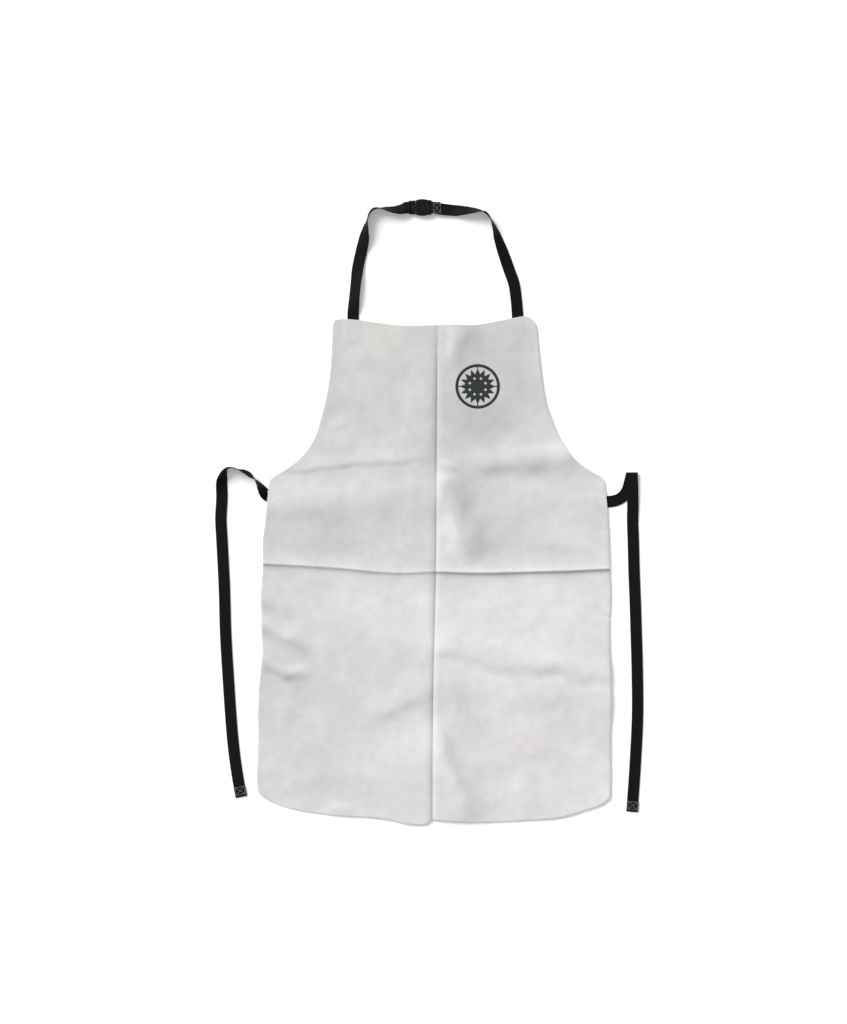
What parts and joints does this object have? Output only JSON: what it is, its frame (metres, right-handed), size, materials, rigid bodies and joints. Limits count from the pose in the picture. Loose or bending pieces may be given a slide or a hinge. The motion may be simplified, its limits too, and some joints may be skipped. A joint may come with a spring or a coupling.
{
  "type": "welding apron",
  "caption": "Split-leather welding apron laid out flat, with a webbing neck strap closed by a side-release buckle and two webbing waist ties.",
  "frame": {"origin": "under the middle of the box around the leather and the neck loop, at the surface the apron lies on", "axes": "+Y towards the bib and the neck loop, +X to the right seen from the front, +Z out of the apron's front, up from the surface it lies on"},
  "size_m": [0.7497, 1.093, 0.0201],
  "materials": {
    "leather": "undyed grey-white split leather with a short matt nap",
    "webbing": "black woven polypropylene webbing",
    "buckle_plastic": "black moulded acetal, satin",
    "thread": "undyed twisted polyester sewing thread",
    "ink": "dark screen-printed ink film, matt"
  },
  "bodies": {
    "apron": {"apron_bib": "leather", "chest_print": "ink", "bib_left_stitching": "thread", "bib_right_stitching": "thread", "waist_left_stitching": "thread", "waist_right_stitching": "thread", "neck_strap_left_sewn_end": "webbing", "neck_strap_right_sewn_end": "webbing", "waist_tie_left_sewn_end": "webbing", "waist_tie_right_sewn_end": "webbing", "waist_tie_left": "webbing", "waist_tie_right": "webbing", "tie_left_end_stitching": "thread", "tie_right_end_stitching": "thread"},
    "skirt": {"apron_skirt": "leather"},
    "neck_loop": {"neck_strap_left": "webbing", "neck_strap_right": "webbing", "neck_strap_right_stitching": "thread", "buckle_plug": "buckle_plastic", "buckle_socket": "buckle_plastic"},
    "prong_upper": {"release_prong_upper": "buckle_plastic"},
    "prong_lower": {"release_prong_lower": "buckle_plastic"}
  },
  "joints": [
    {"name": "skirt_fold", "type": "hinge", "parent": "apron", "child": "skirt", "pos_m": [0, -0.1045, 0.0055], "axis": [-1, 0, 0], "range_deg": [0, 165]},
    {"name": "neck_loop_swing", "type": "hinge", "parent": "apron", "child": "neck_loop", "pos_m": [0, 0.3355, 0.0045], "axis": [1, 0, 0], "range_deg": [0, 170]},
    {"name": "prong_upper_squeeze", "type": "hinge", "parent": "neck_loop", "child": "prong_upper", "pos_m": [-0.0322, 0.5403, 0.0045], "axis": [0, 0, -1], "range_deg": [0, 10], "stiffness_Nm_per_rad": 0.004},
    {"name": "prong_lower_squeeze", "type": "hinge", "parent": "neck_loop", "child": "prong_lower", "pos_m": [-0.0322, 0.5243, 0.0045], "axis": [0, 0, 1], "range_deg": [0, 10], "stiffness_Nm_per_rad": 0.004}
  ]
}
